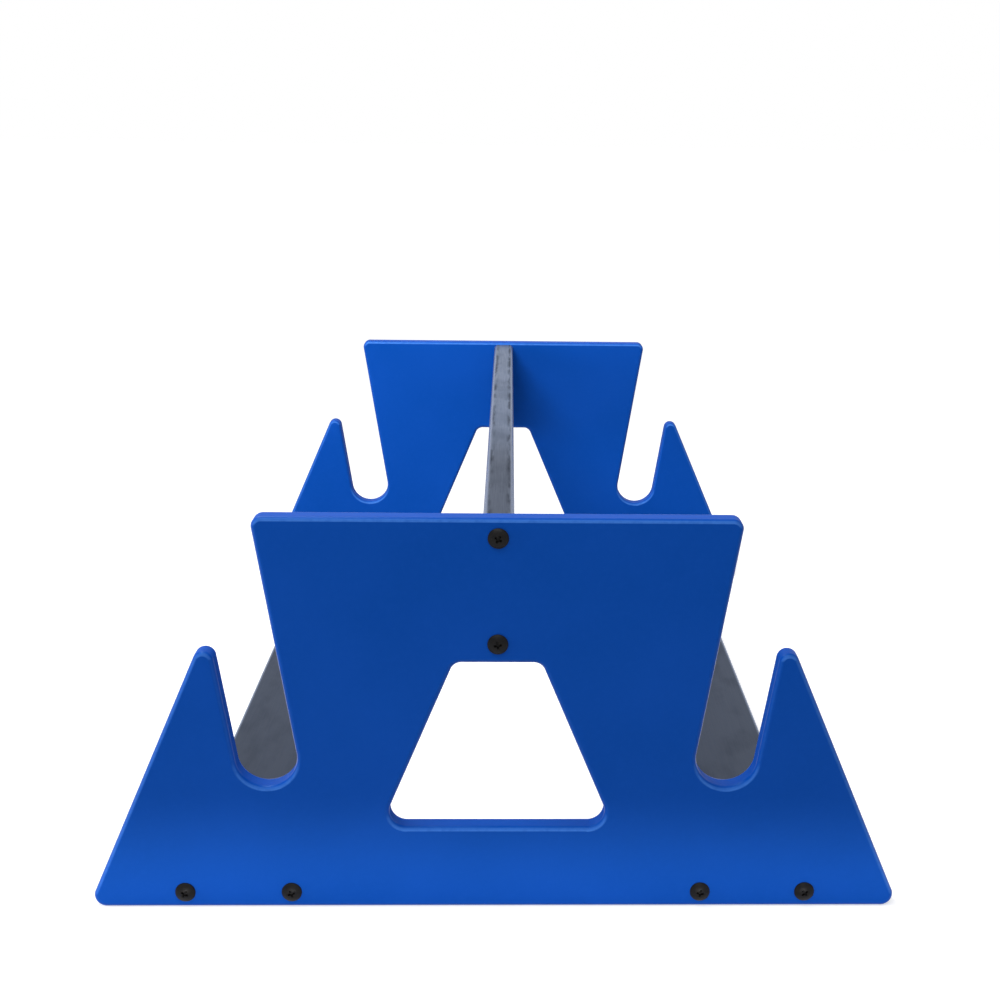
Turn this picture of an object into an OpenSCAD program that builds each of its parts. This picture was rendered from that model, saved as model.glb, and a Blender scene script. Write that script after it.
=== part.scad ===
// Ski rack stand: two end panels routed from plastic sheet, joined by three rectangular steel tubes.
// A ski or a pair of skis lies on edge along the stand, in a slanted slot of each end panel.
// The origin is on the floor at the centre of the stand. X runs across it, Y along it and Z up.
// Both panels are the same piece, and the front one faces -Y.

/* [End panels] */
// Width of an end panel at the floor, measured to its unrounded corners
foot_w = 685.8; // [640:0.1:760]
// Height of an end panel
panel_h = 340.8; // [320:0.1:400]
// Thickness of the plastic sheet
sheet_t = 19.05; // [15:0.05:25]
// Width across the top of the upright, measured to its unrounded corners
upright_w = 394; // [370:0.5:420]
// Lean of the sloping ends, in degrees from upright
end_lean = 23.6; // [20:0.1:27]
// Radius of the upright's top corners
top_corner_r = 8.5; // [7:0.1:20]
// Radius of the tips that keep the skis in
tip_r = 8.5; // [7:0.1:12]
// Radius of the corners at the foot
foot_corner_r = 10; // [7:0.1:20]
// Radius of the bit that rounds over the edges of both faces
edge_r = 4.2; // [2:0.1:5]

/* [Ski slots] */
// Width of a slot, square to its sides
slot_w = 50.8; // [35:0.1:60]
// Lean of the slots and of the upright's sides, in degrees from upright
slot_lean = 9; // [6:0.1:12]
// Height of the bottom of a slot above the floor
slot_floor = 110; // [80:0.5:130]

/* [Cut-out] */
// Width across the top of the cut-out, measured to its unrounded corners
cutout_top_w = 71.5; // [50:0.5:90]
// Width across the bottom of the cut-out, measured to its unrounded corners
cutout_foot_w = 193; // [150:0.5:210]
// Height of the bottom of the cut-out above the floor
cutout_floor = 73.5; // [55:0.5:90]
// Strip of panel left between the top rail's end and the cut-out
cutout_strip = 3.9; // [2:0.1:15]
// Radius of the cut-out's top corners
cutout_top_r = 10; // [7:0.1:16]
// Radius of the cut-out's bottom corners
cutout_foot_r = 14; // [7:0.1:20]

/* [Rails] */
// Length of a rail, which is the clear distance between the panels
rail_len = 914.4; // [600:0.1:1200]
// Width of a rail's broad face
rail_w = 114.3; // [104:0.1:125]
// Thickness of a rail
rail_t = 25.4; // [22:0.1:32]
// Wall of the steel tube
rail_wall = 2.1; // [1.5:0.05:3]
// Radius of the tube's outer corners
rail_corner_r = 4.4; // [3.5:0.1:6]
// Distance from the top of a panel down to the top rail
top_rail_drop = 3.7; // [2:0.1:12]
// Distance from a corner of the foot, unrounded, in to the base rail on that side
base_rail_inset = 69.2; // [50:0.1:90]
// Height of the base rails above the floor
base_rail_lift = 1.5; // [0.5:0.1:5]

/* [End blocks] */
// Length of the block inside each end of a tube
block_len = 32; // [26:0.5:60]
// Gap between a block and the tube around it
block_fit = 0.1; // [0.05:0.05:0.3]
// Depth of a block's face below the end of the tube
block_recess = 0.3; // [0.1:0.1:0.8]

/* [Screws] */
// Distance from the edge of a rail to the screw nearest to it
screw_edge = 12.7; // [10:0.1:20]
// Diameter of the screws over their thread
screw_d = 6.3; // [5:0.1:8]
// Length of a screw under its head
screw_len = 44.5; // [36:0.5:60]
// Length of a screw's point
screw_point = 5; // [3:0.1:8]
// Gap between a screw and the hole that it passes in the panel
screw_clear = 0.35; // [0.2:0.05:0.8]
// Gap between a screw and the hole that it fills in the block
thread_fit = 0.05; // [0.02:0.01:0.2]
// Diameter of the screw heads
head_d = 17; // [14:0.1:20]
// Height of the screw heads
head_h = 4.2; // [3:0.1:5.5]
// Thickness of a head at its rim
head_rim = 0.8; // [0.4:0.1:1.5]
// Width of the cross recess over its wings
recess_w = 8; // [6:0.1:9]
// Width of the cross recess at its bottom
recess_bottom_w = 3.4; // [2:0.1:5]
// Thickness of the wings of the cross recess
recess_wing = 1.9; // [1.2:0.1:2.4]
// Depth of the cross recess
recess_depth = 3; // [1.5:0.1:3.6]

/* [Hidden] */

// Facets of a full circle in the preview
$fn = 96;
// How far a cut runs past the face that it opens
over = 1;
// Angle at which a corner's arc meets the straight edges beside it, in degrees
corner_crease = 4;
// Angle at which the rounded edge meets the flat face and the wall, in degrees
bit_crease = 6;
// How far that angle differs at a corner, so that no four faces meet in one point
corner_change = 1;
// Share by which a cutting sector passes the sharp corner that it takes off
sector_reach = 1.2;

sheet_colour = "#1A4DAF";
tube_colour = "#80858F";
screw_colour = "#1D1D1B";

slot_r = slot_w / 2;
top_rail_z = panel_h - top_rail_drop - rail_w / 2;
base_rail_x = foot_w / 2 - base_rail_inset - rail_w / 2;
base_rail_z = base_rail_lift + rail_t / 2;
cutout_top = panel_h - top_rail_drop - rail_w - cutout_strip;
tube_inner_r = rail_corner_r - rail_wall;
screw_x = rail_w / 2 - screw_edge;

// An outline is a belt that runs round pegs and keeps the sheet on its left.
// A peg is [x, y, r]. Its radius is positive where the belt turns left, round a corner
// that stands out, and negative where it turns right, round a corner that is cut in.
function unit(v) = v / norm(v);
function middle(peg) = [peg[0], peg[1]];
function after(pegs, i) = pegs[(i + 1) % len(pegs)];
function before(pegs, i) = pegs[(i + len(pegs) - 1) % len(pegs)];
function each_peg(pegs) = [0 : len(pegs) - 1];
function whole_turn(a) = a - 360 * floor(a / 360);

// The peg of radius r that rounds the corner at p between the points a and b.
function corner_peg(a, p, b, r) =
    let (u = unit(a - p), v = unit(b - p), half = acos(u * v) / 2)
    concat(p + unit(u + v) * r / sin(half), [r]);

// Direction of the straight stretch from peg a to peg b.
function heading(a, b) =
    let (d = middle(b) - middle(a))
    atan2(d[1], d[0]) - asin((b[2] - a[2]) / norm(d));

// Directions of the belt where it reaches peg i and where it leaves it, and its turn between them.
function heading_in(pegs, i) = heading(before(pegs, i), pegs[i]);
function heading_out(pegs, i) = heading(pegs[i], after(pegs, i));
function turn(pegs, i) =
    let (left = heading_out(pegs, i) - heading_in(pegs, i))
    whole_turn(pegs[i][2] > 0 ? left : -left);

// The point where a straight stretch with heading h touches a peg.
function touch(peg, h) = middle(peg) + peg[2] * [sin(h), -cos(h)];

// The sharp corner that a peg rounds, where its two straight stretches would meet.
function sharp(pegs, i) =
    let (h = heading_in(pegs, i))
    touch(pegs[i], h) + abs(pegs[i][2]) * tan(turn(pegs, i) / 2) * [cos(h), sin(h)];

// A corner's true radius is a hair over its peg's, so its arc crosses the straight stretches.
function arc_r(peg) = abs(peg[2]) / cos(corner_crease);

// Pegs of the left half from those of the right half, and of a hole's wall from those of its outline.
function mirrored(pegs) =
    [for (i = [len(pegs) - 1 : -1 : 0]) [-pegs[i][0], pegs[i][1], pegs[i][2]]];
function from_outside(pegs) =
    [for (i = [len(pegs) - 1 : -1 : 0]) [pegs[i][0], pegs[i][1], -pegs[i][2]]];

// Half width of the upright at height z, and of the outer side of the slot beside it.
function upright_x(z) = upright_w / 2 - (panel_h - z) * tan(slot_lean);
function tip_side_x(z) = upright_x(z) + slot_w / cos(slot_lean);

foot_corner = [foot_w / 2, 0];
tip_z = (foot_w / 2 - tip_side_x(0)) / (tan(end_lean) + tan(slot_lean));
tip = [tip_side_x(tip_z), tip_z];
slot_z = slot_floor + slot_r;
slot_mouth_in = [upright_x(slot_z), slot_z];
slot_mouth_out = [tip_side_x(slot_z), slot_z];
top_corner = [upright_w / 2, panel_h];
top_middle = [0, panel_h];
half_outline = [
    corner_peg([0, 0], foot_corner, tip, foot_corner_r),
    corner_peg(foot_corner, tip, slot_mouth_out, tip_r),
    [upright_x(slot_z) + slot_r / cos(slot_lean), slot_z, -slot_r],
    corner_peg(slot_mouth_in, top_corner, top_middle, top_corner_r),
];
outline = concat(half_outline, mirrored(half_outline));

cutout_low = [cutout_foot_w / 2, cutout_floor];
cutout_high = [cutout_top_w / 2, cutout_top];
half_cutout = [
    corner_peg([0, cutout_floor], cutout_low, cutout_high, cutout_foot_r),
    corner_peg(cutout_low, cutout_high, [0, cutout_top], cutout_top_r),
];
cutout = concat(half_cutout, mirrored(half_cutout));

// What is taken off outside the arc of a corner that stands out.
module corner_waste(pegs, i) {
    far = sector_reach * abs(pegs[i][2]) / cos(turn(pegs, i) / 2);
    start = heading_in(pegs, i) - 90;
    translate(middle(pegs[i])) difference() {
        polygon([
            [0, 0],
            for (a = [0 : 2]) far * [cos(start + a * turn(pegs, i) / 2), sin(start + a * turn(pegs, i) / 2)],
        ]);
        circle(arc_r(pegs[i]));
    }
}

// The flat shape inside a belt.
module belt(pegs) {
    difference() {
        polygon([
            for (i = each_peg(pegs)) each pegs[i][2] > 0
                ? [sharp(pegs, i)]
                : [touch(pegs[i], heading_in(pegs, i)), touch(pegs[i], heading_out(pegs, i))],
        ]);
        for (i = each_peg(pegs)) if (pegs[i][2] > 0) corner_waste(pegs, i);
        for (peg = pegs) if (peg[2] < 0) translate(middle(peg)) circle(arc_r(peg));
    }
}

// A hole whose arcs reach a hair into the sheet, as a routed hole's do.
module belt_hole(pegs) {
    polygon([
        for (i = each_peg(pegs))
            for (h = [heading_in(pegs, i), heading_out(pegs, i)]) touch(pegs[i], h),
    ]);
    for (peg = pegs) translate(middle(peg)) circle(arc_r(peg));
}

// Profile of the rounding-over bit's cut: X runs into the sheet and Y up from its lower face.
module bit(crease) {
    difference() {
        translate([-over, -over]) square(over + edge_r);
        translate([edge_r, edge_r]) circle(edge_r / cos(crease));
    }
}

// A straight pass of the bit runs on past a corner that stands out, and stops short at one cut in.
function run_on(peg) = peg[2] > 0 ? 2 * peg[2] * tan(corner_crease) : 0;

module straight_pass(pegs, i) {
    from = pegs[i];
    to = after(pegs, i);
    h = heading(from, to);
    length = norm(touch(to, h) - touch(from, h)) + run_on(from) + run_on(to);
    translate(touch(from, h)) rotate(h) translate([-run_on(from), 0, 0])
        rotate([90, 0, 90]) linear_extrude(length) bit(bit_crease);
}

module outside_corner_pass(pegs, i) {
    translate(middle(pegs[i])) rotate(heading_in(pegs, i) - 90)
        rotate_extrude(angle = turn(pegs, i)) translate([arc_r(pegs[i]), 0]) mirror([1, 0])
            bit(bit_crease + corner_change);
}

module inside_corner_pass(pegs, i) {
    past = 3 * corner_crease;
    translate(middle(pegs[i])) rotate(heading_out(pegs, i) + 90 - past)
        rotate_extrude(angle = turn(pegs, i) + 2 * past) translate([arc_r(pegs[i]), 0])
            bit(bit_crease - corner_change);
}

module both_faces() {
    children();
    translate([0, 0, sheet_t]) mirror([0, 0, 1]) children();
}

// Rounds over the edges along a belt: inside corners first, then straight edges, then outside
// corners, so that each pass ends in what another one has cut away.
module rounded_over(pegs) {
    difference() {
        difference() {
            difference() {
                children();
                both_faces() for (i = each_peg(pegs)) if (pegs[i][2] < 0) inside_corner_pass(pegs, i);
            }
            both_faces() for (i = each_peg(pegs)) straight_pass(pegs, i);
        }
        both_faces() for (i = each_peg(pegs)) if (pegs[i][2] > 0) outside_corner_pass(pegs, i);
    }
}

// The routed sheet lying flat, its lower face on the XY plane.
module routed_sheet() {
    rounded_over(from_outside(cutout)) rounded_over(outline) linear_extrude(sheet_t)
        difference() {
            belt(outline);
            belt_hole(cutout);
        }
}

// Frame of a rail: its middle is the origin, its broad face lies in XY and it runs along Y.
module at_top_rail() {
    translate([0, 0, top_rail_z]) rotate([0, 90, 0]) children();
}

module at_left_rail() {
    translate([-base_rail_x, 0, base_rail_z]) children();
}

module at_right_rail() {
    translate([base_rail_x, 0, base_rail_z]) children();
}

module at_each_rail() {
    at_top_rail() children();
    at_left_rail() children();
    at_right_rail() children();
}

// Frame of a rail's end: its origin is at the middle of the end, and Y runs into the rail.
module at_front() {
    translate([0, -rail_len / 2, 0]) children();
}

module at_back() {
    rotate(180) at_front() children();
}

module at_screws() {
    for (x = [-screw_x, screw_x]) translate([x, 0, 0]) children();
}

// One end panel at the front of the rails, drilled for the screws of all three.
module end_panel() {
    difference() {
        at_front() rotate([90, 0, 0]) routed_sheet();
        at_each_rail() at_front() at_screws()
            translate([0, over, 0]) rotate([90, 0, 0])
                cylinder(r = screw_d / 2 + screw_clear, h = sheet_t + 2 * over);
    }
}

// A bar's section, w wide and h high.
module rounded_bar(w, h, r) {
    x = w / 2 - r;
    y = h / 2 - r;
    belt([[x, -y, r], [x, y, r], [-x, y, r], [-x, -y, r]]);
}

module rail() {
    rotate([90, 0, 0]) linear_extrude(rail_len, center = true) difference() {
        rounded_bar(rail_w, rail_t, rail_corner_r);
        rounded_bar(rail_w - 2 * rail_wall, rail_t - 2 * rail_wall, tube_inner_r);
    }
}

// The block fills the tube's end and takes both screws.
module end_block() {
    shrink = 2 * (rail_wall + block_fit);
    translate([0, block_recess + block_len, 0]) rotate([90, 0, 0]) linear_extrude(block_len)
        difference() {
            rounded_bar(rail_w - shrink, rail_t - shrink, tube_inner_r);
            at_screws() circle(screw_d / 2 + thread_fit);
        }
}

// Half of the head's section: a low dome over a thin straight rim.
module head_section() {
    dome_h = head_h - head_rim;
    dome_r = (pow(head_d / 2, 2) + pow(dome_h, 2)) / (2 * dome_h);
    square([head_d / 2, head_rim]);
    intersection() {
        translate([0, head_h - dome_r]) circle(dome_r);
        translate([0, head_rim / 2]) square([head_d / 2, head_h]);
    }
}

// A screw along Z, its head standing on the XY plane.
module screw() {
    difference() {
        union() {
            rotate_extrude() head_section();
            translate([0, 0, screw_point - screw_len])
                cylinder(d = screw_d, h = screw_len - screw_point + head_rim / 2);
            translate([0, 0, -screw_len]) cylinder(d1 = screw_d / 4, d2 = screw_d, h = screw_point);
        }
        for (a = [0, 90]) rotate(a) rotate([90, 0, 0]) linear_extrude(recess_wing, center = true)
            polygon([
                [-recess_bottom_w / 2, head_h - recess_depth], [recess_bottom_w / 2, head_h - recess_depth],
                [recess_w / 2, head_h], [recess_w / 2, head_h + over],
                [-recess_w / 2, head_h + over], [-recess_w / 2, head_h],
            ]);
    }
}

module screw_pair() {
    at_screws() translate([0, -sheet_t, 0]) rotate([90, 0, 0]) screw();
}

module front_panel() { color(sheet_colour) end_panel(); }
module back_panel() { color(sheet_colour) rotate(180) end_panel(); }
module top_rail() { color(tube_colour) at_top_rail() rail(); }
module left_base_rail() { color(tube_colour) at_left_rail() rail(); }
module right_base_rail() { color(tube_colour) at_right_rail() rail(); }
module top_front_block() { color(sheet_colour) at_top_rail() at_front() end_block(); }
module top_back_block() { color(sheet_colour) at_top_rail() at_back() end_block(); }
module left_front_block() { color(sheet_colour) at_left_rail() at_front() end_block(); }
module left_back_block() { color(sheet_colour) at_left_rail() at_back() end_block(); }
module right_front_block() { color(sheet_colour) at_right_rail() at_front() end_block(); }
module right_back_block() { color(sheet_colour) at_right_rail() at_back() end_block(); }
module top_front_screws() { color(screw_colour) at_top_rail() at_front() screw_pair(); }
module top_back_screws() { color(screw_colour) at_top_rail() at_back() screw_pair(); }
module left_front_screws() { color(screw_colour) at_left_rail() at_front() screw_pair(); }
module left_back_screws() { color(screw_colour) at_left_rail() at_back() screw_pair(); }
module right_front_screws() { color(screw_colour) at_right_rail() at_front() screw_pair(); }
module right_back_screws() { color(screw_colour) at_right_rail() at_back() screw_pair(); }

front_panel();
back_panel();
top_rail();
left_base_rail();
right_base_rail();
top_front_block();
top_back_block();
left_front_block();
left_back_block();
right_front_block();
right_back_block();
top_front_screws();
top_back_screws();
left_front_screws();
left_back_screws();
right_front_screws();
right_back_screws();
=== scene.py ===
import math

import bpy
from mathutils import Matrix, Vector


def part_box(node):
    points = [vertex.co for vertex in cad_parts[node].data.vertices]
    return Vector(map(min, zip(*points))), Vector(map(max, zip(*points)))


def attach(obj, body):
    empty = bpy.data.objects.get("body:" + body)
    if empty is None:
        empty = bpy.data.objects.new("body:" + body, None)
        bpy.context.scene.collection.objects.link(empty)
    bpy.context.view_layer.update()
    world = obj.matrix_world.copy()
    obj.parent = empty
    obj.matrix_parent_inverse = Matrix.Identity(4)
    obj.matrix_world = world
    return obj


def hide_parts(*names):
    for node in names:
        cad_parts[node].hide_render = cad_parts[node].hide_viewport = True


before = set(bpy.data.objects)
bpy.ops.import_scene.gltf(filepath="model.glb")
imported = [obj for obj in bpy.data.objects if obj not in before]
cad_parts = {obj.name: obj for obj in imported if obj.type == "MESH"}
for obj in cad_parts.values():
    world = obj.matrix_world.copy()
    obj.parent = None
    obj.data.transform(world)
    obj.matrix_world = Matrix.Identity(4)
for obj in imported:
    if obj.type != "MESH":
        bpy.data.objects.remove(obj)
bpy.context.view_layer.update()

# End panels
# Two identical panels of blue high-density polyethylene, cut from 19 mm sheet. A router cuts the outline,
# the ski slots and the cut-out, and a rounding-over bit then takes the edges off both faces. The packed
# solids have that form already, so they stay, and the finish is made here.


def linear(hex_colour):
    """The linear colour of an sRGB hex value such as 1B4FB0, as the shader sockets take it."""
    parts = [int(hex_colour[i:i + 2], 16) / 255 for i in (0, 2, 4)]
    return (*[c / 12.92 if c <= 0.04045 else ((c + 0.055) / 1.055) ** 2.4 for c in parts], 1.0)


def per_mm(size_mm):
    """The scale at which a pattern's grains are about size_mm long, in a scene measured in metres."""
    return 1000 / size_mm


def new_material(name):
    """A new material, its node tree, its shader, and the object's own coordinates."""
    material = bpy.data.materials.new(name)
    material.use_nodes = True
    tree = material.node_tree
    place = add_node(tree, "ShaderNodeTexCoord")["Object"]
    return material, tree, tree.nodes["Principled BSDF"], place


def add_node(tree, kind, inputs=None, **settings):
    """Adds a node with its settings, fills its inputs with values or links, and gives its outputs."""
    node = tree.nodes.new(kind)
    for name, value in settings.items():
        setattr(node, name, value)
    for name, value in (inputs or {}).items():
        fill(tree, node.inputs[name], value)
    return node.outputs


def fill(tree, socket, value):
    """Links an output to the socket, or writes a plain value into it."""
    if isinstance(value, bpy.types.NodeSocket):
        tree.links.new(value, socket)
    else:
        socket.default_value = value


def fill_shader(tree, shader, **values):
    """Fills the shader's sockets. A socket's name is written with underscores for its spaces."""
    for name, value in values.items():
        fill(tree, shader.inputs[name.replace("_", " ")], value)


def dress(node_names, material):
    """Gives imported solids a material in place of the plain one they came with."""
    for name in node_names:
        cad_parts[name].data.materials.clear()
        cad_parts[name].data.materials.append(material)


deep_blue = linear("0244A2")
plain_blue = linear("0647A8")
speckle_blue = linear("104DAE")
painted_highlight_blue = linear("3C74CC")
cool_sheen = linear("A0E6FF")
corner_dullness = 0.28
relief_depth = 0.0002

# Pressed polyethylene sheet: a dull skin with a fine orange peel, a slow drift in its shade and a cool
# sheen. The straight cutter leaves the walls duller still, with marks that run straight through the
# sheet, drawn coarser than the real ones so that they show. Skis and hands rub the walls that face up a
# little smoother. The rounding-over bit leaves the corners smooth, so they catch a soft glint, and the
# ones that face up carry a paler painted highlight along the panel's face.
sheet_plastic, tree, shader, place = new_material("pressed_and_routed_polyethylene")
normal = add_node(tree, "ShaderNodeNewGeometry")["Normal"]
facing = add_node(tree, "ShaderNodeSeparateXYZ", {"Vector": normal})
squareness = add_node(tree, "ShaderNodeMath", {0: facing["Y"]}, operation="ABSOLUTE")["Value"]
on_face = add_node(tree, "ShaderNodeMapRange", {
    "Value": squareness, "From Min": 0.985, "From Max": 0.998})["Result"]
off_wall = add_node(tree, "ShaderNodeMapRange", {
    "Value": squareness, "From Min": 0.02, "From Max": 0.12})["Result"]
on_corner = add_node(tree, "ShaderNodeMix", {"Factor": on_face, "A": off_wall, "B": 0.0})["Result"]

drift = add_node(tree, "ShaderNodeTexNoise", {
    "Vector": place, "Scale": per_mm(110), "Detail": 2})["Fac"]
speckle = add_node(tree, "ShaderNodeTexNoise", {
    "Vector": place, "Scale": per_mm(5), "Detail": 6})["Fac"]
drifted = add_node(tree, "ShaderNodeMapRange", {
    "Value": drift, "From Min": 0.35, "From Max": 0.65})["Result"]
speckled = add_node(tree, "ShaderNodeMapRange", {
    "Value": speckle, "From Min": 0.45, "From Max": 0.75, "To Max": 0.25})["Result"]

# The paler blue on the corners that face up is a painted highlight. Each step of it is the upper end of the
# next one's range, so that all of them have to hold.
painted_highlight_depth = add_node(tree, "ShaderNodeMapRange", {
    "Value": speckle, "From Min": 0.3, "From Max": 0.55, "To Min": 0.63, "To Max": 0.9})["Result"]
painted_highlight_facing_up = add_node(tree, "ShaderNodeMapRange", {
    "Value": facing["Z"], "From Min": 0.05, "From Max": 0.25, "To Max": painted_highlight_depth})["Result"]
painted_highlight_by_face = add_node(tree, "ShaderNodeMapRange", {
    "Value": squareness, "From Min": 0.6, "From Max": 0.95, "To Max": painted_highlight_facing_up})["Result"]
painted_highlight = add_node(tree, "ShaderNodeMix", {"Factor": on_face, "A": painted_highlight_by_face, "B": 0.0})["Result"]

# Each colour covers the ones before it by its share.
shade = add_node(tree, "ShaderNodeMix", {
    "Factor": drifted, "A": deep_blue, "B": plain_blue}, data_type="RGBA")["Result"]
for share, colour in ((speckled, speckle_blue), (painted_highlight, painted_highlight_blue)):
    shade = add_node(tree, "ShaderNodeMix", {
        "Factor": share, "A": shade, "B": colour}, data_type="RGBA")["Result"]

wall_dullness = add_node(tree, "ShaderNodeMapRange", {
    "Value": facing["Z"], "From Min": 0.3, "From Max": 0.8, "To Min": 0.95, "To Max": 0.6})["Result"]
face_dullness = add_node(tree, "ShaderNodeMapRange", {
    "Value": speckle, "From Min": 0.3, "From Max": 0.7, "To Min": 0.48, "To Max": 0.58})["Result"]
dullness = add_node(tree, "ShaderNodeMix", {
    "Factor": on_face, "A": wall_dullness, "B": face_dullness})["Result"]
dullness = add_node(tree, "ShaderNodeMix", {
    "Factor": on_corner, "A": dullness, "B": corner_dullness})["Result"]

orange_peel = add_node(tree, "ShaderNodeTexNoise", {
    "Vector": place, "Scale": per_mm(1.8), "Detail": 3})["Fac"]
through_sheet = add_node(tree, "ShaderNodeMapping", {
    "Vector": place, "Scale": (per_mm(0.9), per_mm(60), per_mm(0.9))})["Vector"]
cutter_marks = add_node(tree, "ShaderNodeTexNoise", {
    "Vector": through_sheet, "Scale": 1, "Detail": 3})["Fac"]
texture = add_node(tree, "ShaderNodeMix", {
    "Factor": on_face, "A": cutter_marks, "B": orange_peel})["Result"]
relief = add_node(tree, "ShaderNodeBump", {
    "Height": texture, "Strength": 0.2, "Distance": relief_depth})["Normal"]
fill_shader(
    tree, shader,
    Base_Color=shade,
    Roughness=dullness,
    IOR=1.54,
    Specular_IOR_Level=0.15,
    Specular_Tint=cool_sheen,
    Normal=relief,
)
dress(("front_panel", "back_panel"), sheet_plastic)

# Rails
# Three rectangular steel tubes, roll-formed from strip and welded: one on edge under the top of the
# panels, and two lying flat at the floor. They are left as the mill makes them, without paint.

# In metres. The top rail is the only one near the stand's middle. Its smudges begin a little beside the
# middle of its top side, and the painted reflection that makes its top side paler begins some way behind
# the front panel.
top_rail_within = 0.02
base_rails_beyond = 0.03
smudges_from = 0.005
smudges_full = 0.0085
painted_reflection_from = -0.26
painted_reflection_full = -0.08
grain_depth = 0.00008

bend_dullness = 0.26
smudge_dullness = 0.8
dark_scale = linear("2D3139")
light_scale = linear("3B414C")
oil_grey = linear("282C34")
painted_reflection_grey = linear("7E8CA6")
smudge_black = linear("121417")
bend_highlight_grey = linear("6C7486")
speck_black = linear("1B1D20")
blue_sheen = linear("A8B8D8")

# Hot-rolled steel with its mill scale on: a thin blue-grey oxide that looks dark from above and pale at a
# glancing angle. It has a grain along the tube, drawn coarser than the real one so that it shows, clouds
# of darker oil, and corners painted brighter, a painted highlight where they catch the light. Skis and
# hands leave dark smudges along the top rail's upper edges, and the far part of its top side is painted
# paler, a painted reflection of the light it meets at a glancing angle there.
scaled_steel, tree, shader, place = new_material("hot_rolled_steel_with_mill_scale")
normal = add_node(tree, "ShaderNodeNewGeometry")["Normal"]
unsigned = add_node(tree, "ShaderNodeVectorMath", {0: normal}, operation="ABSOLUTE")["Vector"]
tilt = add_node(tree, "ShaderNodeSeparateXYZ", {"Vector": unsigned})
roundness = add_node(tree, "ShaderNodeMath", {0: tilt["X"], 1: tilt["Z"]}, operation="MINIMUM")["Value"]
on_bend = add_node(tree, "ShaderNodeMapRange", {
    "Value": roundness, "From Min": 0.12, "From Max": 0.5})["Result"]

# The grain, the oil clouds, the specks and the traces of handling, with their sizes across, along and up.
patterns = []
for size_mm, detail in (((1.1, 40, 1.1), 4), ((22, 60, 22), 5), ((2.2, 3.5, 2.2), 2), ((6, 45, 6), 4)):
    stretched = add_node(tree, "ShaderNodeMapping", {
        "Vector": place, "Scale": [per_mm(length) for length in size_mm]})["Vector"]
    patterns.append(add_node(tree, "ShaderNodeTexNoise", {
        "Vector": stretched, "Scale": 1, "Detail": detail})["Fac"])
grain, clouds, specks, handling = patterns

oiled = add_node(tree, "ShaderNodeMapRange", {
    "Value": clouds, "From Min": 0.5, "From Max": 0.75, "To Max": 0.45})["Result"]
specked = add_node(tree, "ShaderNodeMapRange", {
    "Value": specks, "From Min": 0.68, "From Max": 0.74, "To Max": 0.5})["Result"]

spot = add_node(tree, "ShaderNodeSeparateXYZ", {"Vector": place})
from_middle = add_node(tree, "ShaderNodeMath", {0: spot["X"]}, operation="ABSOLUTE")["Value"]
on_top_rail = add_node(tree, "ShaderNodeMapRange", {
    "Value": from_middle, "From Min": top_rail_within, "From Max": base_rails_beyond,
    "To Min": 1, "To Max": 0})["Result"]
on_narrow_side = add_node(tree, "ShaderNodeMapRange", {
    "Value": tilt["Z"], "From Min": 0.8, "From Max": 0.95, "To Max": on_top_rail})["Result"]

# Painted reflection: the top rail's top side is painted paler towards the back panel, where it meets the
# eye at a more glancing angle.
painted_reflection_depth = add_node(tree, "ShaderNodeMapRange", {
    "Value": clouds, "From Min": 0.35, "From Max": 0.6, "To Min": 0.42, "To Max": 0.3})["Result"]
painted_reflection = add_node(tree, "ShaderNodeMapRange", {
    "Value": spot["Y"], "From Min": painted_reflection_from, "From Max": painted_reflection_full, "To Max": painted_reflection_depth})["Result"]
painted_reflection = add_node(tree, "ShaderNodeMath", {0: painted_reflection, 1: on_narrow_side}, operation="MULTIPLY")["Value"]

smudges = add_node(tree, "ShaderNodeMapRange", {
    "Value": handling, "From Min": 0.45, "From Max": 0.63, "To Max": 0.8})["Result"]
smudges = add_node(tree, "ShaderNodeMapRange", {
    "Value": from_middle, "From Min": smudges_from, "From Max": smudges_full, "To Max": smudges})["Result"]
smudges = add_node(tree, "ShaderNodeMath", {0: smudges, 1: on_narrow_side}, operation="MULTIPLY")["Value"]

# The brighter bends are a painted highlight and the paler far part of the top rail is a painted reflection;
# the other layers are the steel's own colour.
layers = (
    (oiled, oil_grey),
    (painted_reflection, painted_reflection_grey),
    (smudges, smudge_black),
    (on_bend, bend_highlight_grey),
    (specked, speck_black),
)
shade = add_node(tree, "ShaderNodeMix", {
    "Factor": grain, "A": dark_scale, "B": light_scale}, data_type="RGBA")["Result"]
for share, colour in layers:
    shade = add_node(tree, "ShaderNodeMix", {
        "Factor": share, "A": shade, "B": colour}, data_type="RGBA")["Result"]

grain_dullness = add_node(tree, "ShaderNodeMapRange", {
    "Value": grain, "From Min": 0.3, "From Max": 0.7, "To Min": 0.3, "To Max": 0.4})["Result"]
oil_dullness = add_node(tree, "ShaderNodeMapRange", {
    "Value": clouds, "From Min": 0.45, "From Max": 0.7, "To Max": 0.1})["Result"]
dullness = add_node(tree, "ShaderNodeMath", {0: grain_dullness, 1: oil_dullness}, operation="ADD")["Value"]
for share, covering in ((smudges, smudge_dullness), (on_bend, bend_dullness)):
    dullness = add_node(tree, "ShaderNodeMix", {"Factor": share, "A": dullness, "B": covering})["Result"]
relief = add_node(tree, "ShaderNodeBump", {
    "Height": grain, "Strength": 0.15, "Distance": grain_depth})["Normal"]
fill_shader(
    tree, shader,
    Base_Color=shade,
    Metallic=0.5,
    Roughness=dullness,
    Specular_IOR_Level=0.5,
    Specular_Tint=blue_sheen,
    Normal=relief,
)
dress(("top_rail", "left_base_rail", "right_base_rail"), scaled_steel)

# End blocks
# A block of the same plastic fills each end of each tube and gives the screws something to bite in. It is
# sawn and pushed in, and a panel hides it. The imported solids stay.

dress([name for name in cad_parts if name.endswith("_block")], sheet_plastic)

# Screws
# Twelve steel screws with low domed heads and a cross recess, cold-headed and thread-rolled. Two hold
# each end of each rail, through the panel and into the end block. They are modelled here with their
# threads, once, and copied.

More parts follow.
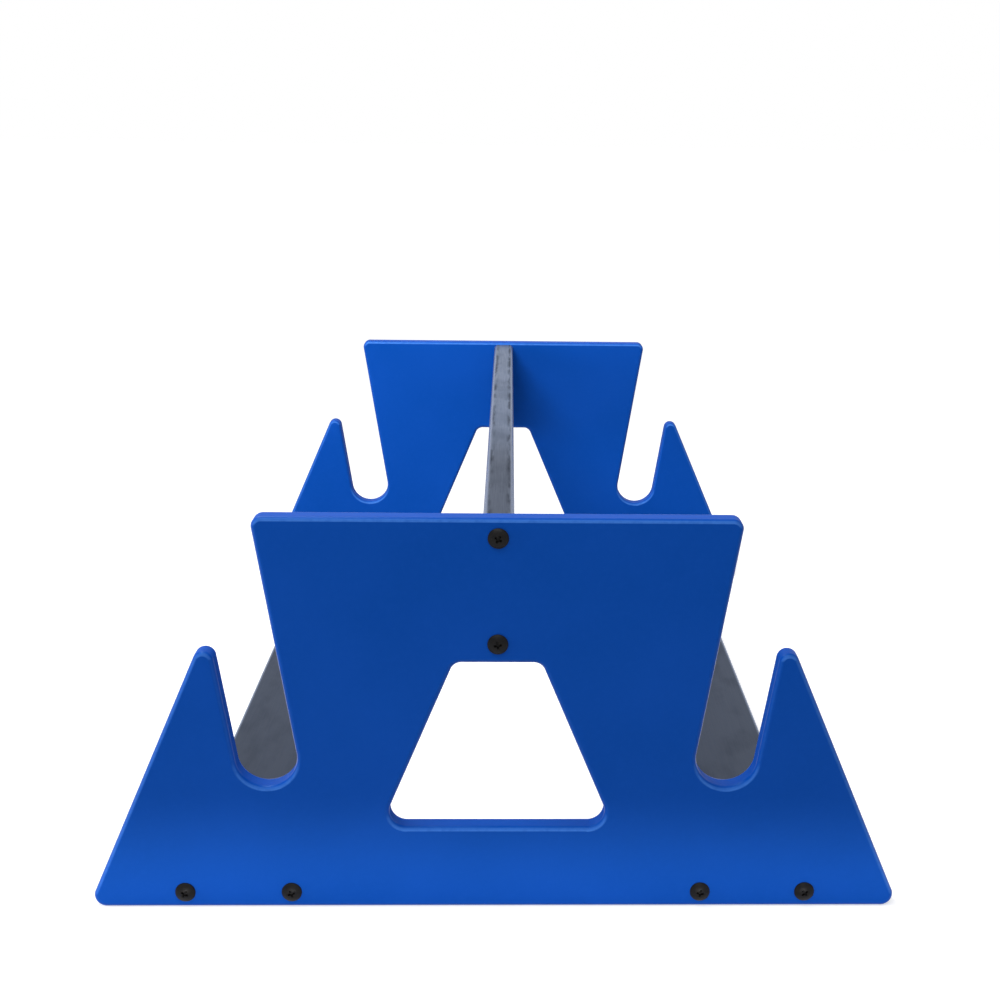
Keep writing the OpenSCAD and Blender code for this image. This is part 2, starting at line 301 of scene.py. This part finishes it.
# In metres, but for the shares of a width that are left at the tip, and the angles.
head_d = 0.017
head_h = 0.0042
rim_h = 0.0008
rim_bevel = 0.00025
core_d = 0.0043
thread_d = 0.0063
thread_pitch = 0.0022
shank_length = 0.0445
neck_length = 0.004
point_length = 0.005
core_tip_share = 0.1
thread_tip_share = 0.15
recess_w = 0.008
recess_bottom_w = 0.0034
recess_wing = 0.0019
recess_depth = 0.003
recess_rounding = 0.0003
oxide_depth = 0.00004
smooth_below_deg = 28
turn_step_deg = 50

oxide_black = linear("0C0C0E")
oxide_brown = linear("151312")


def only(piece):
    """Selects one object alone and makes it the active one."""
    bpy.ops.object.select_all(action="DESELECT")
    piece.select_set(True)
    bpy.context.view_layer.objects.active = piece


def pick(piece, wanted, kind="FACE"):
    """In edit mode, selects the faces or edges whose middle and normal (or ends) the test takes."""
    bpy.ops.object.mode_set(mode="EDIT")
    bpy.ops.mesh.select_mode(type=kind)
    bpy.ops.mesh.select_all(action="DESELECT")
    bpy.ops.object.mode_set(mode="OBJECT")
    mesh = piece.data
    if kind == "FACE":
        for face in mesh.polygons:
            face.select = wanted(face.center, face.normal)
    else:
        for edge in mesh.edges:
            edge.select = wanted(*[mesh.vertices[i].co for i in edge.vertices])
    bpy.ops.object.mode_set(mode="EDIT")


def faces_down(middle, normal):
    """The test for faces that look straight down."""
    return normal.z < -0.9


def on_rim_edge(a, b):
    """The test for the edges that run round the top or the foot of the head's rim."""
    nearest = min(a.xy.length, b.xy.length)
    return nearest > 0.49 * head_d and abs(a.z - b.z) < rim_h / 2


def apply_modifier(piece, kind, **settings):
    """Adds a modifier to the piece, sets it and applies it."""
    only(piece)
    modifier = piece.modifiers.new("step", kind)
    for name, value in settings.items():
        setattr(modifier, name, value)
    bpy.ops.object.modifier_apply(modifier="step")


def merge(pieces):
    """Joins pieces into the first one."""
    only(pieces[0])
    for piece in pieces[1:]:
        piece.select_set(True)
    bpy.ops.object.join()
    return pieces[0]


def screw_body():
    """Head and core in one solid: a cap cut from a sphere, a straight rim, then the core and its point."""
    dome_h = head_h - rim_h
    dome_r = ((head_d / 2) ** 2 + dome_h ** 2) / (2 * dome_h)
    bpy.ops.mesh.primitive_uv_sphere_add(
        segments=64, ring_count=128, radius=dome_r, location=(0, 0, head_h - dome_r))
    body = bpy.context.object
    bpy.ops.object.transform_apply(location=True, rotation=True, scale=True)
    bpy.ops.object.mode_set(mode="EDIT")
    bpy.ops.mesh.select_all(action="SELECT")
    bpy.ops.mesh.bisect(plane_co=(0, 0, rim_h), plane_no=(0, 0, 1), use_fill=True, clear_inner=True)
    pick(body, faces_down)
    bpy.ops.mesh.extrude_region_move(TRANSFORM_OT_translate={"value": (0, 0, -rim_h)})
    bpy.ops.mesh.inset(thickness=(head_d - core_d) / 2)
    core_length = shank_length - point_length
    bpy.ops.mesh.extrude_region_move(TRANSFORM_OT_translate={"value": (0, 0, -core_length)})
    bpy.ops.mesh.extrude_region_move(TRANSFORM_OT_translate={"value": (0, 0, -point_length)})
    bpy.ops.transform.resize(value=(core_tip_share, core_tip_share, 1))
    pick(body, on_rim_edge, kind="EDGE")
    bpy.ops.mesh.bevel(offset=rim_bevel, segments=3, affect="EDGES")
    bpy.ops.object.mode_set(mode="OBJECT")
    return body


def recess_tool(turned):
    """A tapered bar with rounded edges that cuts two opposite wings of the cross recess."""
    above_head = 0.001
    height = recess_depth + above_head
    bpy.ops.mesh.primitive_cube_add(size=1, location=(0, 0, head_h + above_head - height / 2))
    bar = bpy.context.object
    bar.scale = (recess_w, recess_wing, height)
    bar.rotation_euler.z = turned
    bpy.ops.object.transform_apply(location=True, rotation=True, scale=True)
    pick(bar, faces_down)
    taper = recess_bottom_w / recess_w
    bpy.ops.transform.resize(value=(1, taper, 1) if turned else (taper, 1, 1))
    bpy.ops.mesh.select_all(action="SELECT")
    bpy.ops.mesh.bevel(offset=recess_rounding, segments=2, affect="EDGES")
    bpy.ops.object.mode_set(mode="OBJECT")
    return bar


def thread():
    """A ridge swept up the shank, trimmed to a cylinder that runs out in the point's cone."""
    crest = thread_d / 2 + 0.0001
    half_base = 0.42 * thread_pitch
    inside_core = 0.45 * core_d
    bpy.ops.mesh.primitive_circle_add(vertices=3, radius=1, rotation=(math.pi / 2, 0, 0))
    ridge = bpy.context.object
    bpy.ops.object.transform_apply(location=True, rotation=True, scale=True)
    corners = ((crest, 0), (inside_core, half_base), (inside_core, -half_base))
    for vertex, (x, z) in zip(ridge.data.vertices, corners):
        vertex.co = (x, 0, z - shank_length)
    turns = int((shank_length - neck_length) / thread_pitch)
    apply_modifier(
        ridge, "SCREW", axis="Z", angle=math.tau, screw_offset=thread_pitch, iterations=turns,
        steps=32, render_steps=32)
    bpy.ops.object.mode_set(mode="EDIT")
    bpy.ops.mesh.select_all(action="SELECT")
    bpy.ops.mesh.fill_holes(sides=3)
    bpy.ops.mesh.select_all(action="SELECT")
    bpy.ops.mesh.normals_make_consistent(inside=False)
    bpy.ops.object.mode_set(mode="OBJECT")
    straight_length = shank_length - point_length
    bpy.ops.mesh.primitive_cylinder_add(
        vertices=48, radius=thread_d / 2, depth=straight_length, location=(0, 0, -straight_length / 2))
    envelope = bpy.context.object
    bpy.ops.object.transform_apply(location=True, rotation=True, scale=True)
    pick(envelope, faces_down)
    bpy.ops.mesh.extrude_region_move(TRANSFORM_OT_translate={"value": (0, 0, -point_length)})
    bpy.ops.transform.resize(value=(thread_tip_share, thread_tip_share, 1))
    bpy.ops.object.mode_set(mode="OBJECT")
    apply_modifier(ridge, "BOOLEAN", operation="INTERSECT", object=envelope, solver="EXACT")
    bpy.data.objects.remove(envelope)
    return ridge


# Steel blackened in a hot oxide bath and waxed: close to black, with a faint sheen on the dome that breaks
# up into brown and grey. The fine relief of its skin is drawn coarser than the real one so that it shows.
blackened_steel, tree, shader, place = new_material("black_oxide_steel")
patches = add_node(tree, "ShaderNodeTexNoise", {
    "Vector": place, "Scale": per_mm(3.5), "Detail": 4})["Fac"]
fine_skin = add_node(tree, "ShaderNodeTexNoise", {
    "Vector": place, "Scale": per_mm(0.5), "Detail": 3})["Fac"]
browned = add_node(tree, "ShaderNodeMapRange", {
    "Value": patches, "From Min": 0.35, "From Max": 0.65})["Result"]
shade = add_node(tree, "ShaderNodeMix", {
    "Factor": browned, "A": oxide_black, "B": oxide_brown}, data_type="RGBA")["Result"]
dullness = add_node(tree, "ShaderNodeMapRange", {
    "Value": patches, "From Min": 0.3, "From Max": 0.7, "To Min": 0.38, "To Max": 0.5})["Result"]
relief = add_node(tree, "ShaderNodeBump", {
    "Height": fine_skin, "Strength": 0.2, "Distance": oxide_depth})["Normal"]
fill_shader(
    tree, shader,
    Base_Color=shade,
    Metallic=0.35,
    Roughness=dullness,
    Specular_IOR_Level=0.18,
    Normal=relief,
)

pattern_screw = screw_body()
for turned in (0, math.pi / 2):
    tool = recess_tool(turned)
    apply_modifier(pattern_screw, "BOOLEAN", operation="DIFFERENCE", object=tool, solver="EXACT")
    bpy.data.objects.remove(tool)
pattern_screw = merge([pattern_screw, thread()])
bpy.ops.object.shade_smooth_by_angle(angle=math.radians(smooth_below_deg))
pattern_screw.data.materials.clear()
pattern_screw.data.materials.append(blackened_steel)

# A packed pair lies one screw over or beside the other, so its box has a head at its low corner and one at
# its high corner. Each screw stops at another turn, as driven screws do.
to_head_middle = Vector((head_d / 2, 0, head_d / 2))
driven_deg = 0
for name in [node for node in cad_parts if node.endswith("_screws")]:
    low, high = [Vector(corner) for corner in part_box(name)]
    faces_front = name.endswith("front_screws")
    seat_y = low.y + head_h if faces_front else high.y - head_h
    pair = []
    for head_middle in (low + to_head_middle, high - to_head_middle):
        only(pattern_screw)
        bpy.ops.object.duplicate(linked=False)
        screw = bpy.context.object
        driven_deg += turn_step_deg
        screw.matrix_world = (
            Matrix.Translation((head_middle.x, seat_y, head_middle.z))
            @ Matrix.Rotation(math.radians(90 if faces_front else -90), 4, "X")
            @ Matrix.Rotation(math.radians(driven_deg), 4, "Z"))
        bpy.ops.object.transform_apply(location=True, rotation=True, scale=True)
        pair.append(screw)
    screws = merge(pair)
    screws.name = name.replace("_screws", "_threaded_screws")
    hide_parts(name)
    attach(screws, "root")
bpy.data.objects.remove(pattern_screw)

# Studio
# A white floor that runs far past the picture, an even white sky and four lamps: a key over the middle,
# turned to the back panel, a softbox low at the left and a long one high in front for the front panel, and
# a low strip with a grid for the front foot.


def background_share(tree):
    """1 for rays that show the background: those of the camera, mirrors and clear things, else 0."""
    path = add_node(tree, "ShaderNodeLightPath")
    shown = add_node(tree, "ShaderNodeMath", {
        0: path["Is Glossy Ray"], 1: path["Is Transmission Ray"]}, operation="MAXIMUM")["Value"]
    return add_node(tree, "ShaderNodeMath", {
        0: path["Is Camera Ray"], 1: shown}, operation="MAXIMUM")["Value"]


bpy.ops.object.select_all(action="DESELECT")
bpy.ops.mesh.primitive_plane_add(size=60, location=(0, 0, 0))
floor = bpy.context.object
floor.name = "floor"

# White paper. To the camera it is as bright as the sky where it meets it, so that no horizon shows, and it
# keeps the stand's shadow near the stand.
white_floor, tree, shader, place = new_material("white_studio_paper")
distance = add_node(tree, "ShaderNodeVectorMath", {0: place}, operation="LENGTH")["Value"]
glow = add_node(tree, "ShaderNodeMapRange", {
    "Value": distance, "From Min": 0.5, "From Max": 2.5, "To Min": 0.55, "To Max": 0.7})["Result"]
glow = add_node(tree, "ShaderNodeMath", {0: background_share(tree), 1: glow}, operation="MULTIPLY")["Value"]
fill_shader(
    tree, shader,
    Base_Color=linear("DCDCDC"),
    Roughness=0.9,
    Specular_IOR_Level=0.0,
    Emission_Color=linear("FFFFFF"),
    Emission_Strength=glow,
)
floor.data.materials.append(white_floor)

# The sky is white where it is seen or mirrored, and lights the stand with less than half of that.
world = bpy.data.worlds.new("white_sky")
bpy.context.scene.world = world
world.use_nodes = True
tree = world.node_tree
sky = tree.nodes["Background"]
brightness = add_node(tree, "ShaderNodeMapRange", {
    "Value": background_share(tree), "To Min": 0.45, "To Max": 1.0})["Result"]
fill(tree, sky.inputs["Color"], linear("FFFFFF"))
fill(tree, sky.inputs["Strength"], brightness)


def softbox(name, place, aim, width, height, watts, spread=180):
    """A rectangular lamp at one place that faces another. Its spread can be narrowed, in degrees."""
    lamp = bpy.data.lights.new(name, "AREA")
    lamp.shape = "RECTANGLE"
    lamp.size = width
    lamp.size_y = height
    lamp.energy = watts
    lamp.spread = math.radians(spread)
    box = bpy.data.objects.new(name, lamp)
    bpy.context.scene.collection.objects.link(box)
    box.visible_camera = False
    box.location = place
    box.rotation_euler = (Vector(aim) - Vector(place)).to_track_quat("-Z", "Y").to_euler()
    return box


softbox("key_softbox", place=(-0.45, -0.05, 1.3), aim=(0.6, 0.457, 0.1), width=0.7, height=0.7,
        watts=9.1, spread=130)
side_softbox = softbox("side_softbox", place=(-1.5, -0.55, 0.45), aim=(0, -0.47, 0.2), width=0.7,
                       height=0.7, watts=13)
softbox("front_softbox", place=(-0.2, -1.0, 1.5), aim=(0, -0.476, 0.3), width=1.6, height=0.3, watts=9.5)
softbox("foot_strip", place=(0, -0.66, 0.02), aim=(0, -0.476, 0.02), width=0.8, height=0.01,
        watts=0.105, spread=50)
# The low softbox shows in no reflection, because it would glare on the rails.
side_softbox.visible_glossy = False

# Camera
# It stands 1.1 m in front of the stand and 0.3 m over its top, looks down on it, and is turned and rolled
# by a degree or two.

lens = bpy.data.cameras.new("camera")
lens.sensor_width = 36
lens.lens = 53.53
lens.shift_x = -0.0528
lens.shift_y = 0.0008
camera = bpy.data.objects.new("camera", lens)
bpy.context.scene.collection.objects.link(camera)
camera.location = (0.0074, -1.6092, 0.6502)
camera.rotation_euler = (math.radians(75.426), math.radians(-0.8), math.radians(-1.576))
bpy.context.scene.camera = camera

bpy.context.scene.view_settings.view_transform = "Standard"
